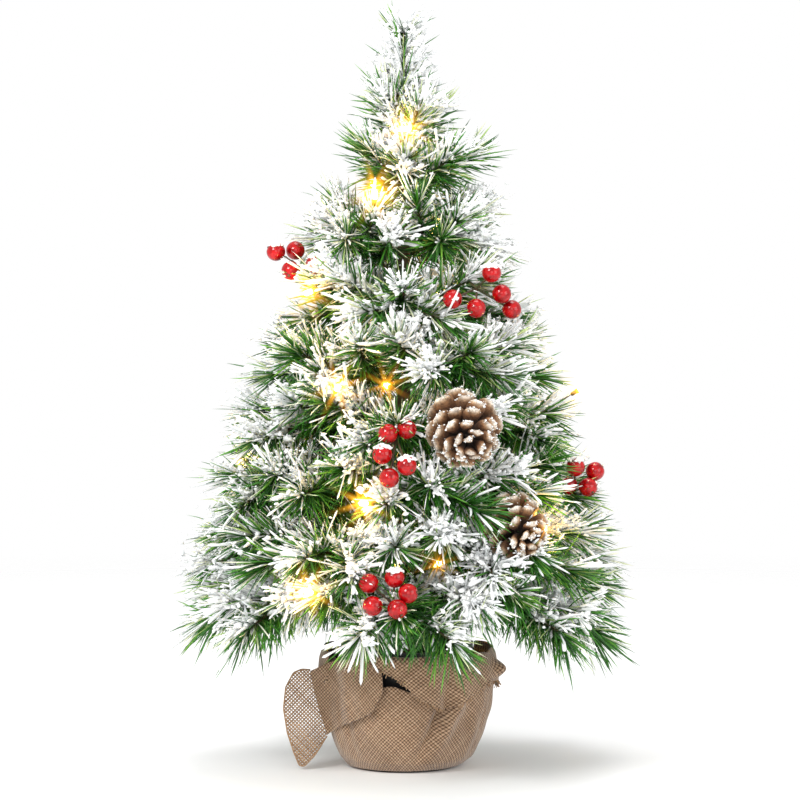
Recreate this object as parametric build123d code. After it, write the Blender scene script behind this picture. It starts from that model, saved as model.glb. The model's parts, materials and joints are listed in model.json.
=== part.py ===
"""Lit artificial tabletop tree: wire trunk in a weighted, burlap-wrapped pot, with branches that bend at their roots.

Frame: millimetres, +Z up, -Y is the front, origin at the centre of the foot pad's underside, on the trunk's axis.
"""
from build123d import *
from math import cos, pi, radians, sin
from random import Random
import os

# ---------------------------------------------------------------- driving dimensions
PAD_RADIUS = 40.0
PAD_THICKNESS = 2.0

CLOTH = 1.0                    # burlap under the pot
POT_BOTTOM_RADIUS = 43.0
POT_TOP_RADIUS = 53.0
POT_WALL = 1.6
POT_FLOOR = 2.0
POT_TOP = 95.0
WEIGHT_TOP = 74.0              # the pot is filled with cement to here

TRUNK_RADIUS = 5.0
TRUNK_BOTTOM = 12.0
TRUNK_TOP = 434.0
TAPE_RADIUS = 7.4
TAPE_HEIGHT = 9.0
GAP = 0.05                     # between pieces that are pushed or cast together

ROOT_RADIUS = 9.5              # distance of each branch's bend from the trunk's axis
KNUCKLE_RADIUS = 1.8
KNUCKLE_LENGTH = 5.0
ARM_WIRE = 1.3
SPRIG_WIRE = 0.9
TIP_RADIUS = 10.0              # the part of a tuft of needles that does not squash
TIP_LENGTH = 56.0
TIP_OVERHANG = 18.0            # needles reach past the end of their wire
TIP_LIFTS = [14.0, -12.0, 3.0, -15.0, 11.0, -5.0]    # of neighbouring tips, from their tier's height
TIP_SLOPE = 0.35               # the tree's outline comes in by this much for each millimetre of height
LEADER_TOP = 578.0
LEADER_ROOT = 440.0

LAMP_LEAD = 0.7
LAMP_HOLDER = 1.9
LAMP_HOLDER_LENGTH = 7.0
LAMP_BULB = 1.6
LAMP_BULB_LENGTH = 7.0

BERRY_RADIUS = 7.4
BERRY_STEM = 0.8
CONE_STEM = 1.1

CASE_WIDTH = 62.0              # battery box, standing on the cement behind the trunk
CASE_FRONT = 12.0
CASE_DEPTH = 20.0
CASE_HEIGHT = 54.0
CASE_BACK = CASE_FRONT + CASE_DEPTH
CASE_TOP = WEIGHT_TOP + CASE_HEIGHT
CASE_WALL = 1.6
CASE_CORNER = 1.2
LID_THICKNESS = 2.0
LID_CLEARANCE = 0.3
RAIL_DEPTH = 4.0               # how far the lid's rails reach forward along the case's sides
RAIL_LIP = 1.2                 # and how far they lap over the lid's edges
GRIP_RIDGES = 4                # on the lid, near its top
GRIP_WIDTH = 18.0
GRIP_PITCH = 2.4
GRIP_HEIGHT = 1.1
GRIP_DEPTH = 0.8
SWITCH_TRAVEL = 4.0            # each way from the middle, which is "on"
SWITCH_X = -14.0
SWITCH_Y = CASE_FRONT + CASE_DEPTH / 2
SWITCH_STEM = 3.0
SWITCH_KNOB = 2.6              # half the knob's depth, and its height over the case
SWITCH_FLANGE = 6.5            # half the width of the plate that holds the switch in from below
SWITCH_PLAY = 0.15
CELL_RADIUS = 7.2
CELL_LENGTH = 50.5
CELL_PITCH = 14.8
CELL_NUB_RADIUS = 2.7
CELL_NUB_LENGTH = 1.2
CONTACT_PLATE = 0.4
CONTACT_HALF = 5.0
SPRING_RADIUS = 3.4
SPRING_WIRE = 0.4
SPRING_TURNS = 4
WIRE_RADIUS = 0.9              # the pair of leads up the trunk
WIRE_AZIMUTH = 60.0            # no branch has its root here
WIRE_OFFSET = 8.6              # from the trunk's axis
WIRE_RISE = 14.0               # straight up out of the battery box
WIRE_LANDING = 34.0            # from the battery box's top to where the leads reach the trunk
WIRE_BENDS = [12.0, 20.0]      # the radii of the leads' two bends

# Branch tiers, from the lowest up: branches, height of the roots, height and radius of the tips' ends,
# azimuth of the first branch (+X is 0, the front is -90), and tips on each branch.
TIERS = [
    (6, 152.0, 130.0, 157.0, -90.0, 5),
    (5, 186.0, 176.0, 151.0, -48.0, 5),
    (4, 222.0, 224.0, 130.0, -75.0, 6),
    (4, 262.0, 274.0, 114.0, -90.0, 5),
    (4, 302.0, 322.0, 98.0, -60.0, 5),
    (3, 344.0, 370.0, 75.0, -90.0, 5),
    (3, 388.0, 424.0, 60.0, -150.0, 6),
]

# The top shoot's sprigs: azimuth, height where it leaves the shoot, reach and rise.
LEADER_SPRIGS = [
    (-35, 450, 42, 26), (-4, 454, 50, 26), (52, 448, 42, 28), (108, 452, 36, 30),
    (165, 450, 28, 32), (-142, 452, 30, 30), (-88, 449, 34, 28), (-58, 484, 22, 32),
    (32, 480, 26, 32), (150, 488, 17, 32), (-150, 492, 15, 34), (80, 512, 12, 34),
]

# Lamps that are seen from outside: a name and the place of the bulb.
LAMPS = {
    "lamp_top": (0, -17, 500),
    "lamp_upper_left": (-22, -56, 451),
    "lamp_left_shoulder": (-77, -50, 372),
    "lamp_left_middle": (-49, -108, 303),
    "lamp_centre": (-33, -142, 217),
    "lamp_right_lower": (107, -86, 196),
    "lamp_left_lower": (-72, -154, 152),
    "lamp_right_side": (143, -6, 300),
    "lamp_left_side": (-133, 30, 239),
    "lamp_back": (40, 118, 260),
}
# Lamps twisted to the trunk, whose light comes out from between the branches: azimuth and height.
TRUNK_LAMPS = [(-65, 240), (-20, 372), (-140, 330), (150, 205), (0, 160), (120, 300), (35, 420), (-100, 165)]
TRUNK_LAMP_REACH = 30.0

# Berry picks: the centres of the berries.
BERRY_PICKS = {
    "berries_upper_left": [(-100, -14, 405), (-88, -24, 390), (-85, -6, 406), (-69, -26, 395)],
    "berries_upper_right": [(67, -66, 388), (75, -60, 372), (55, -74, 361), (83, -52, 360), (37, -76, 368)],
    "berries_centre": [(-12, -131, 268), (2, -127, 271), (-16, -140, 253), (2, -146, 245), (-11, -148, 236)],
    "berries_right": [(134, -22, 237), (150, -12, 233), (144, -20, 221), (129, -14, 222)],
    "berries_low": [(-26, -160, 159), (-23, -166, 143), (-7, -158, 163), (3, -164, 152), (-5, -170, 141)],
}

# Pine cones: centre, the direction that the cone's tip faces, length and radius.
PINE_CONES = {
    "pine_cone_front": ((46, -126, 268), (0.15, -0.95, -0.35), 50.0, 28.0),
    "pine_cone_right": ((86, -112, 194), (0.45, -0.80, -0.30), 46.0, 25.0),
}


# ---------------------------------------------------------------- small helpers
def polar(radius, azimuth, height):
    """The point at that distance and azimuth from the trunk's axis."""
    turn = radians(azimuth)
    return Vector(radius * cos(turn), radius * sin(turn), height)


def mix(start, end, share):
    """The point that lies that share of the way from start to end."""
    return start + (end - start) * share


def aimed(shape, start, direction):
    """The shape, made along +Z from the origin, moved to start and turned to the direction."""
    return Plane(origin=start, z_dir=direction).location * shape


def rod(start, end, radius):
    """A straight round wire."""
    length = (end - start).length
    return aimed(Cylinder(radius, length, align=(Align.CENTER, Align.CENTER, Align.MIN)), start, end - start)


def turned(points):
    """The solid of revolution about Z of an outline of (radius, height) points."""
    outline = make_face(Polyline(*[(r, 0, z) for r, z in points], close=True))
    return revolve(outline, Axis.Z)


def tuft(start, end):
    """The firm core of a tuft of needles: two cones base to base around its wire, and past the wire's end."""
    length = (end - start).length + TIP_OVERHANG
    core = turned([(0, 0), (SPRIG_WIRE, 0), (TIP_RADIUS, 0.45 * length), (SPRIG_WIRE, length), (0, length)])
    return aimed(core, start, end - start)


def nearest_on(wires, point):
    """The point on any of the (start, end) wires that lies nearest to the given point."""
    best = None
    for start, end in wires:
        run = end - start
        share = min(max((point - start).dot(run) / run.dot(run), 0.15), 0.95)
        place = mix(start, end, share)
        if best is None or (place - point).length < (best - point).length:
            best = place
    return best


def write(name, pieces):
    """Writes one node, made of one or more separate solids."""
    solids = [solid for piece in pieces for solid in piece.solids()]
    NODES[name] = solids
    node = solids[0] if len(solids) == 1 else Compound(solids)
    export_step(node, f"parts/{name}.step")


NODES = {}       # every node's solids
WIRES = {}       # every branch's wires, as (start, end) pairs
ROOTS = {}       # every branch's bend: its place and azimuth
CARRIERS = {}    # the branch, or None for the trunk, that carries each lamp, pick and cone
os.makedirs("parts", exist_ok=True)


# ---------------------------------------------------------------- base
def pot_radius(height):
    """The pot's outer radius at a height."""
    rise = (height - PAD_THICKNESS - CLOTH) / (POT_TOP - PAD_THICKNESS - CLOTH)
    return POT_BOTTOM_RADIUS + (POT_TOP_RADIUS - POT_BOTTOM_RADIUS) * rise


def build_base():
    write("foot_pad", [Pos(0, 0, PAD_THICKNESS / 2) * Cylinder(PAD_RADIUS, PAD_THICKNESS)])

    floor = PAD_THICKNESS + CLOTH
    rim = 2.2                  # the rolled rim stands this far out
    pot = turned([
        (0, floor), (pot_radius(floor), floor), (pot_radius(POT_TOP - 4), POT_TOP - 4),
        (POT_TOP_RADIUS + rim, POT_TOP - 4), (POT_TOP_RADIUS + rim, POT_TOP),
        (POT_TOP_RADIUS - POT_WALL, POT_TOP), (POT_BOTTOM_RADIUS - POT_WALL, floor + POT_FLOOR),
        (0, floor + POT_FLOOR),
    ])
    write("base_pot", [pot])

    cast_bottom = floor + POT_FLOOR + GAP
    inset = POT_WALL + 4 * GAP
    weight = turned([
        (0, cast_bottom), (POT_BOTTOM_RADIUS - inset, cast_bottom),
        (pot_radius(WEIGHT_TOP) - inset, WEIGHT_TOP), (0, WEIGHT_TOP),
    ])
    bore_length = WEIGHT_TOP - TRUNK_BOTTOM + 1
    bore = Pos(0, 0, WEIGHT_TOP + 1 - bore_length / 2) * Cylinder(TRUNK_RADIUS + GAP, bore_length)
    write("base_weight", [weight - bore])

    # The cloth stands off the pot in folds, so its outer radius is well over the pot's.
    outside = [(45.5, PAD_THICKNESS + 0.1), (56, 14), (62, 34), (64, 58), (61, 82), (58.5, POT_TOP + 2)]
    inside = [(56.2, POT_TOP + 2), (56.2, POT_TOP - 5), (pot_radius(floor) + 0.5, floor - GAP), (0, floor - GAP)]
    bag = turned([(0, PAD_THICKNESS + 0.1)] + outside + inside)
    flap_outline = [(-58, 80), (-93, 76), (-90, 40), (-80, 3.5), (-72, 22), (-58, 40)]
    flap = extrude(make_face(Polyline(*[(x, 0, z) for x, z in flap_outline], close=True)), 1.2, both=True)
    flap = Pos(0, -22, 0) * flap - Pos(0, 0, 50) * Cylinder(62.5, 100)
    write("burlap_wrap", [bag, flap])


# ---------------------------------------------------------------- trunk and branches
def build_trunk():
    trunk_length = TRUNK_TOP - TRUNK_BOTTOM
    write("trunk_pole", [Pos(0, 0, TRUNK_BOTTOM + trunk_length / 2) * Cylinder(TRUNK_RADIUS, trunk_length)])
    ring = Cylinder(TAPE_RADIUS, TAPE_HEIGHT) - Cylinder(TRUNK_RADIUS + GAP, TAPE_HEIGHT)
    write("tape_wraps", [Pos(0, 0, tier[1]) * ring for tier in TIERS])


def branch(root, azimuth, ends):
    """One branch: a knuckle at its bend, an arm to the middle end, and a sprig to each of the other ends.

    ends is a list of (end point, share), where share is how far out along the arm the sprig leaves it.
    """
    sideways = polar(1, azimuth + 90, 0)
    half = sideways * (KNUCKLE_LENGTH / 2)
    pieces = [rod(root - half, root + half, KNUCKLE_RADIUS)]
    arm_end = ends[0][0]
    wires = []
    for number, (end, share) in enumerate(ends):
        start = root if number == 0 else mix(root, arm_end, share)
        wires.append((start, end))
        pieces.append(rod(start, end, ARM_WIRE if number == 0 else SPRIG_WIRE))
        length = (end - start).length
        tip_start = mix(start, end, max(1 - TIP_LENGTH / length, 0.12))
        pieces.append(tuft(tip_start, end))
    return pieces, wires


def tip_ends(tier, azimuth, chance):
    """The ends of one branch's tips, spread evenly over its share of the circle, the arm's own end first."""
    count, _, tip_height, tip_radius, _, tips = tier
    sector = 360.0 / count
    ends = []
    for number in range(tips):
        offset = sector * ((number + 0.5) / tips - 0.5)
        spread = abs(offset) / (sector / 2)
        lift = TIP_LIFTS[number]
        turn = azimuth + offset + chance.uniform(-2.5, 2.5)
        radius = tip_radius * (1 - 0.06 * spread) - TIP_SLOPE * lift + chance.uniform(-5, 3)
        height = tip_height + lift + chance.uniform(-4, 4)
        share = 0.86 - 0.70 * spread
        ends.append((spread, polar(radius, turn, height), share))
    ends.sort(key=lambda item: item[0])
    return [(end, share) for _, end, share in ends]


def build_branches():
    chance = Random(11)
    for number, tier in enumerate(TIERS, start=1):
        count, root_height, first = tier[0], tier[1], tier[4]
        for step in range(count):
            name = f"branch_{number}{'abcdef'[step]}"
            azimuth = first + 360.0 / count * step
            root = polar(ROOT_RADIUS, azimuth, root_height)
            pieces, WIRES[name] = branch(root, azimuth, tip_ends(tier, azimuth, chance))
            ROOTS[name] = (root, azimuth)
            write(name, pieces)


def build_leader():
    """The upright top shoot, which bends at its foot, with its short sprigs."""
    foot = Vector(0, 0, LEADER_ROOT)
    top = Vector(0, 0, LEADER_TOP)
    pieces = [rod(Vector(-3.5, 0, LEADER_ROOT), Vector(3.5, 0, LEADER_ROOT), 2.4)]
    pieces.append(rod(foot, top, ARM_WIRE))
    pieces.append(tuft(mix(foot, top, 0.08), mix(foot, top, 0.58)))
    pieces.append(tuft(mix(foot, top, 0.50), top))
    wires = [(foot, top)]
    for azimuth, height, reach, rise in LEADER_SPRIGS:
        start = Vector(0, 0, height)
        end = polar(reach, azimuth, height + rise)
        wires.append((start, end))
        pieces.append(rod(start, end, SPRIG_WIRE))
        pieces.append(tuft(mix(start, end, 0.1), end))
    WIRES["leader"] = wires
    write("leader", pieces)


# ---------------------------------------------------------------- lamps, berries and cones
def carrier_of(point):
    """The branch whose wires come nearest to the point, and the place on them."""
    places = {name: nearest_on(wires, point) for name, wires in WIRES.items()}
    name = min(places, key=lambda key: (places[key] - point).length)
    return name, places[name]


def lamp(start, tip):
    """One lamp: its lead from the branch, the holder, and the rounded bulb that ends at tip."""
    direction = (tip - start).normalized()
    bulb_start = tip - direction * LAMP_BULB_LENGTH
    holder_start = bulb_start - direction * LAMP_HOLDER_LENGTH
    pieces = [rod(holder_start, bulb_start, LAMP_HOLDER)]
    if (holder_start - start).dot(direction) > 1:
        pieces.append(rod(start, holder_start, LAMP_LEAD))
    dome = LAMP_BULB_LENGTH - LAMP_BULB
    profile = Polyline((0, 0, dome), (0, 0, 0), (LAMP_BULB, 0, 0), (LAMP_BULB, 0, dome))
    crown = ThreePointArc(
        (LAMP_BULB, 0, dome), (LAMP_BULB * sin(pi / 4), 0, dome + LAMP_BULB * sin(pi / 4)), (0, 0, LAMP_BULB_LENGTH)
    )
    axis_edge = Line((0, 0, LAMP_BULB_LENGTH), (0, 0, dome))
    bulb = revolve(make_face([profile, crown, axis_edge]), Axis.Z)
    pieces.append(aimed(bulb, bulb_start, direction))
    return pieces


def build_lamps():
    for name, place in LAMPS.items():
        tip = Vector(*place)
        CARRIERS[name], start = carrier_of(tip)
        write(name, lamp(start, tip))
    pieces = []
    for azimuth, height in TRUNK_LAMPS:
        pieces += lamp(polar(TRUNK_RADIUS, azimuth, height - 6), polar(TRUNK_LAMP_REACH, azimuth, height))
    CARRIERS["trunk_lamps"] = None
    write("trunk_lamps", pieces)


def build_berries():
    for name, places in BERRY_PICKS.items():
        centres = [Vector(*place) for place in places]
        middle = sum(centres, Vector(0, 0, 0)) * (1 / len(centres))
        CARRIERS[name], start = carrier_of(middle)
        fork = mix(middle, start, 0.5)
        pieces = [rod(start, fork, BERRY_STEM)]
        for centre in centres:
            pieces.append(rod(fork, mix(centre, fork, 0.1), BERRY_STEM))
            pieces.append(Pos(*centre) * Sphere(BERRY_RADIUS))
        write(name, pieces)


def build_cones():
    for name, (place, facing, length, radius) in PINE_CONES.items():
        direction = Vector(*facing).normalized()
        back = Vector(*place) - direction * (length / 2)
        edge = ThreePointArc((0.5, 0, 0), (radius, 0, 0.42 * length), (0.5, 0, length))
        closing = Polyline((0.5, 0, length), (0, 0, length), (0, 0, 0), (0.5, 0, 0))
        body = revolve(make_face([edge, closing]), Axis.Z)
        CARRIERS[name], start = carrier_of(back)
        stem = rod(start, back + direction * 2, CONE_STEM)
        write(name, [aimed(body, back, direction), stem])


# ---------------------------------------------------------------- battery box and wiring
def box(x, y, z):
    """A block between two values on each axis."""
    size = [high - low for low, high in (x, y, z)]
    middle = [(high + low) / 2 for low, high in (x, y, z)]
    return Pos(*middle) * Box(*size)


def build_case():
    """The battery box's case, open at the back, with a rail at each side for the lid."""
    half = CASE_WIDTH / 2
    inner = half - CASE_WALL
    case = box((-half, half), (CASE_FRONT, CASE_BACK), (WEIGHT_TOP, CASE_TOP))
    case -= box(
        (-inner, inner), (CASE_FRONT + CASE_WALL, CASE_BACK + 1), (WEIGHT_TOP + CASE_WALL, CASE_TOP - CASE_WALL)
    )
    lip_front = CASE_BACK + LID_THICKNESS + 2 * LID_CLEARANCE
    for side in (-1, 1):
        outer_x = sorted((side * half, side * (half + CASE_WALL)))
        lip_x = sorted((side * (half - RAIL_LIP), side * (half + CASE_WALL)))
        case += box(outer_x, (CASE_BACK - RAIL_DEPTH, lip_front + RAIL_LIP), (WEIGHT_TOP, CASE_TOP))
        case += box(lip_x, (lip_front, lip_front + RAIL_LIP), (WEIGHT_TOP, CASE_TOP))
    slot_half = SWITCH_STEM / 2 + SWITCH_TRAVEL + LID_CLEARANCE
    slot_depth = SWITCH_STEM / 2 + LID_CLEARANCE
    case -= box(
        (SWITCH_X - slot_half, SWITCH_X + slot_half),
        (SWITCH_Y - slot_depth, SWITCH_Y + slot_depth),
        (CASE_TOP - 2 * CASE_WALL, CASE_TOP + 1),
    )
    write("battery_case", [fillet(case.edges().filter_by(Axis.Z).group_by(Axis.Y)[0], CASE_CORNER)])


def build_lid():
    """The lid, which slides up between the rails, with ridges to push it by."""
    half = CASE_WIDTH / 2 - LID_CLEARANCE
    front = CASE_BACK + LID_CLEARANCE
    outside = front + LID_THICKNESS
    lid = box((-half, half), (front, outside), (WEIGHT_TOP + LID_CLEARANCE, CASE_TOP - LID_CLEARANCE))
    for ridge in range(GRIP_RIDGES):
        height = CASE_TOP - 8 - GRIP_PITCH * ridge
        lid += box((-GRIP_WIDTH / 2, GRIP_WIDTH / 2), (outside, outside + GRIP_DEPTH), (height, height + GRIP_HEIGHT))
    write("battery_lid", [lid])


def build_switch():
    """The sliding switch: a knob on top of the case, its stem through the slot, and a plate below."""
    stem = SWITCH_STEM / 2
    bottom = CASE_TOP - CASE_WALL - 1
    top = CASE_TOP + SWITCH_KNOB
    knob = box((SWITCH_X - stem, SWITCH_X + stem), (SWITCH_Y - stem, SWITCH_Y + stem), (bottom, top))
    knob_half = 2.2
    knob += box(
        (SWITCH_X - knob_half, SWITCH_X + knob_half),
        (SWITCH_Y - SWITCH_KNOB, SWITCH_Y + SWITCH_KNOB),
        (CASE_TOP + SWITCH_PLAY, top),
    )
    knob += box(
        (SWITCH_X - SWITCH_FLANGE, SWITCH_X + SWITCH_FLANGE),
        (SWITCH_Y - 2 * stem, SWITCH_Y + 2 * stem),
        (bottom, CASE_TOP - CASE_WALL - SWITCH_PLAY),
    )
    write("power_switch", [knob])


def build_cells():
    """Three cells side by side, each between a flat contact plate and a spring."""
    inner = CASE_WIDTH / 2 - CASE_WALL
    cell_y = CASE_FRONT + CASE_WALL + CELL_RADIUS + 2 * LID_CLEARANCE
    lowest = WEIGHT_TOP + CASE_WALL + CELL_RADIUS + LID_CLEARANCE
    spring_length = 2 * inner - CELL_LENGTH - 2 * CONTACT_PLATE - 2.2
    cells = []
    contacts = []
    for row in range(3):
        height = lowest + CELL_PITCH * row
        side = -1 if row % 2 else 1
        flat_end = side * (-inner + 2 * CONTACT_PLATE)
        along = Vector(side, 0, 0)
        barrel_length = CELL_LENGTH - CELL_NUB_LENGTH
        standing = (Align.CENTER, Align.CENTER, Align.MIN)
        barrel = Cylinder(CELL_RADIUS, barrel_length, align=standing)
        nub = Pos(0, 0, barrel_length) * Cylinder(CELL_NUB_RADIUS, CELL_NUB_LENGTH, align=standing)
        cells.append(aimed(barrel + nub, Vector(flat_end, cell_y, height), along))
        coil = Helix(pitch=spring_length / SPRING_TURNS, height=spring_length, radius=SPRING_RADIUS)
        wire = sweep(Plane(origin=coil @ 0, z_dir=coil % 0) * Circle(SPRING_WIRE), path=coil)
        spring_gap = SPRING_WIRE + 4 * GAP
        contacts.append(aimed(wire, Vector(flat_end + side * (CELL_LENGTH + spring_gap), cell_y, height), along))
        for end in (-1, 1):
            plate_x = sorted((end * (inner - CONTACT_PLATE), end * (inner - GAP)))
            plate_y = (cell_y - CONTACT_HALF, cell_y + CONTACT_HALF)
            contacts.append(box(plate_x, plate_y, (height - CONTACT_HALF, height + CONTACT_HALF)))
    write("battery_cells", cells)
    write("battery_contacts", contacts)


def build_wiring():
    """The pair of leads, taped up the trunk from the battery box's top to the highest lamp."""
    foot = polar(WIRE_OFFSET, WIRE_AZIMUTH, CASE_TOP + WIRE_LANDING)
    head = polar(WIRE_OFFSET, WIRE_AZIMUTH, TRUNK_TOP - 8)
    outlet = Vector(-SWITCH_X + 1, SWITCH_Y, CASE_TOP)
    route = FilletPolyline(outlet, outlet + Vector(0, 0, WIRE_RISE), foot, head, radius=WIRE_BENDS)
    wire = sweep(Plane(origin=route @ 0, z_dir=route % 0) * Circle(WIRE_RADIUS), path=route)
    print("the leads are", round(route.length, 1), "mm long")
    write("light_string", [wire])


build_base()
build_trunk()
build_branches()
build_leader()
build_lamps()
build_berries()
build_cones()
build_case()
build_lid()
build_switch()
build_cells()
build_wiring()
print(len(NODES), "nodes", sum(len(wires) for wires in WIRES.values()), "tips")
for name, (root, azimuth) in ROOTS.items():
    print(name, "bends at", [round(value, 2) for value in root], "and points to azimuth", azimuth)
for name, carrier in CARRIERS.items():
    print(name, "is wired to", carrier or "the trunk")
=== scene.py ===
"""Looks of the lit tabletop tree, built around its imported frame. Metres, +Z up, the front is -Y."""
import json
import math
from functools import partial

import bmesh
import bpy
import numpy as np
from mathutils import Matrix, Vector
from numpy.linalg import norm


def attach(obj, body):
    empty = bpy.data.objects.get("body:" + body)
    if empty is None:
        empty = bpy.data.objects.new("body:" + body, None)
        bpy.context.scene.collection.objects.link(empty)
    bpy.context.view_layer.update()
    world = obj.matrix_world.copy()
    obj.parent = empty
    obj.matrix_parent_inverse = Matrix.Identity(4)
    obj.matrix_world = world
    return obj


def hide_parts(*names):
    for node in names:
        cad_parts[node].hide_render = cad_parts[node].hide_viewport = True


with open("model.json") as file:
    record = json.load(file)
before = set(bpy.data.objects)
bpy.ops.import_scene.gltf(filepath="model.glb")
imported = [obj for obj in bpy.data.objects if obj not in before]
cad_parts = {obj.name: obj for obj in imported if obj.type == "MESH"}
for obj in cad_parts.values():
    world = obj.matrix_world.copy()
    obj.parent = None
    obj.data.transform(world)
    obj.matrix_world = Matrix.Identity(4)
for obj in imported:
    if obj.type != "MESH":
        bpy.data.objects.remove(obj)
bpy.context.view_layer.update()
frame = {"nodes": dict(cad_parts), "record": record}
RECORD = frame["record"]
BODY_OF = {node: body for body, nodes in RECORD["behaviour"]["bodies"].items() for node in nodes}
UP = np.array([0.0, 0.0, 1.0])

# ---------------- driving values, in metres
NEEDLE_LENGTH = 0.032
NEEDLE_WIDTH = 0.0015
NEEDLE_THICKNESS = 0.0005
NEEDLES_PER_METRE = 3500
TIP_BURST = 18                 # extra needles round the end of each wire
COAT_RADIUS = 0.00072          # of a needle thick with flock
CRUMB_RADIUS = 0.0027          # of the largest lumps of flock, but for the heaped ones
CRUMBS_PER_NEEDLE = 3.1        # of those that are thick with flock and don't point down
STEM_RADIUS = 0.0013
BARE_ARM = 0.012               # of each branch's wire next to the trunk
BARE_SPRIG = 0.003
NEEDLE_LEAN = 58               # degrees from the wire
TIP_LEAN = 16                  # degrees at the wire's end, where needles close up
LEAN_GAIN = 2300               # degrees more for each metre back from the end
CLOSING_REACH = 0.018          # how far back needles close up
BURST_REACH = 0.005            # how far back the extra needles start
FARTHEST = np.array([0.184, 0.193, 0.602])     # of a needle's tip from the origin, each way
LOW_WIRES = 0.165              # height below which needles hang longer
THICKEST_WIRE = 0.0016         # radius that tells a branch's wires from its knuckle and its tufts' cores
SHORTEST_WIRE = 0.012
CONE_SCALES = 46
DUST_LIFT = 0.010197           # of the dust at a scale's edge, as a share of the scale's length

THICKEST_LEAD = 0.001          # radii that tell a lamp's lead, its bulb and its holder apart
THICKEST_BULB = 0.00175
BULB_BRIGHTNESS = 30.0
LAMP_LIGHT = (1.0, 0.58, 0.09)
LAMP_POWER = 0.05              # watts of the light that a lamp throws on the needles round it
TRUNK_LAMP_POWER = 0.02
LAMP_CLEARANCE = 0.0045        # kept free of needles in front of a lamp
CLEAR_AHEAD = 0.07             # how far in front of it

YARN_PITCH = 0.002013          # of the burlap, both ways
YARN_RADIUS = 0.00042
CLOTH_THICKNESS = 0.0009
BAG_ROUND = 0.058              # radius that the weave's rows are counted on
FOOT_HEIGHT = 0.0025           # of the cloth under the pot
FOOT_RADIUS = 0.0445           # of the flat part under the pot
COLLAR_SPAN = (-117, 208)      # azimuths, in degrees, from which and to which the cloth is folded back

STAGE_REACH = 4.0
SKY_LEVEL = 0.82               # of the light all round
BACKDROP_LEVEL = 1.0           # of what shows behind the tree
BAKE_UV = "OFBake"             # the UV layer that patterned pieces' colours follow


# ---------------- materials
def feed(tree, node, **values):
    """Sets a node's inputs by name, with _ for a space, or links them where the value is a socket."""
    for key, value in values.items():
        socket = node.inputs[key.replace("_", " ")]
        if isinstance(value, bpy.types.NodeSocket):
            tree.links.new(value, socket)
        else:
            socket.default_value = value


def add(tree, kind, **values):
    """A node of that kind, with the values given to its inputs, or to its properties where no input is called so."""
    node = tree.nodes.new(kind)
    for key, value in values.items():
        if key.replace("_", " ") in node.inputs:
            feed(tree, node, **{key: value})
        else:
            setattr(node, key, value)
    return node


def new_material(name):
    """A material's tree, with the Principled shader in it."""
    material = bpy.data.materials.new(name)
    material.use_nodes = True
    return material, material.node_tree, material.node_tree.nodes["Principled BSDF"]


def ramp(tree, source, stops):
    """The colour that (position, (r, g, b)) stops give for a socket."""
    node = add(tree, "ShaderNodeValToRGB", Fac=source)
    elements = node.color_ramp.elements
    while len(elements) < len(stops):
        elements.new(0.5)
    for element, (position, colour) in zip(elements, stops):
        element.position = position
        element.color = (*colour, 1)
    return node.outputs[0]


def calc(tree, operation, *operands):
    """A Math node's output; each operand is a number or a socket."""
    node = add(tree, "ShaderNodeMath", operation=operation)
    for slot, value in enumerate(operands):
        if isinstance(value, (int, float)):
            node.inputs[slot].default_value = value
        else:
            tree.links.new(value, node.inputs[slot])
    return node.outputs[0]


def multiply(tree, first, second):
    """The product of two colours."""
    mix = add(tree, "ShaderNodeMix", data_type="RGBA", blend_type="MULTIPLY", Factor=1.0)
    tree.links.new(first, mix.inputs["A"])
    tree.links.new(second, mix.inputs["B"])
    return mix.outputs["Result"]


def noise_at(tree, vector, **values):
    return add(tree, "ShaderNodeTexNoise", Vector=vector, **values).outputs[0]


def bump(tree, height, strength, distance):
    return add(tree, "ShaderNodeBump", Strength=strength, Distance=distance, Height=height).outputs[0]


def uv_parts(tree):
    """The UV map's output, and its two parts."""
    uv = add(tree, "ShaderNodeUVMap", uv_map=BAKE_UV).outputs[0]
    split = add(tree, "ShaderNodeSeparateXYZ", Vector=uv)
    return uv, split.outputs["X"], split.outputs["Y"]


def object_place(tree):
    return add(tree, "ShaderNodeTexCoord").outputs["Object"]


def strip_material(name, shades, along, **more):
    """A material for strips: V picks the strip's shade, and U, from root to tip, how it changes along it."""
    material, tree, shader = new_material(name)
    _, u, v = uv_parts(tree)
    feed(tree, shader, Base_Color=multiply(tree, ramp(tree, v, shades), ramp(tree, u, along)), **more)
    return material


def solid_material(name, stops, roughness, scale, strength=0.15, distance=0.0004, stretch=(1, 1, 1), metallic=0.0,
                   detail=6.0):
    """A colour that wanders over a ramp by noise in the object's space, with a fine bump of the same noise."""
    material, tree, shader = new_material(name)
    vector = add(tree, "ShaderNodeMapping", Vector=object_place(tree), Scale=stretch).outputs[0]
    noise = noise_at(tree, vector, Scale=scale, Detail=detail, Roughness=0.6)
    feed(tree, shader, Base_Color=ramp(tree, noise, stops), Roughness=roughness, Metallic=metallic,
         Normal=bump(tree, noise, strength, distance))
    return material


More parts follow.
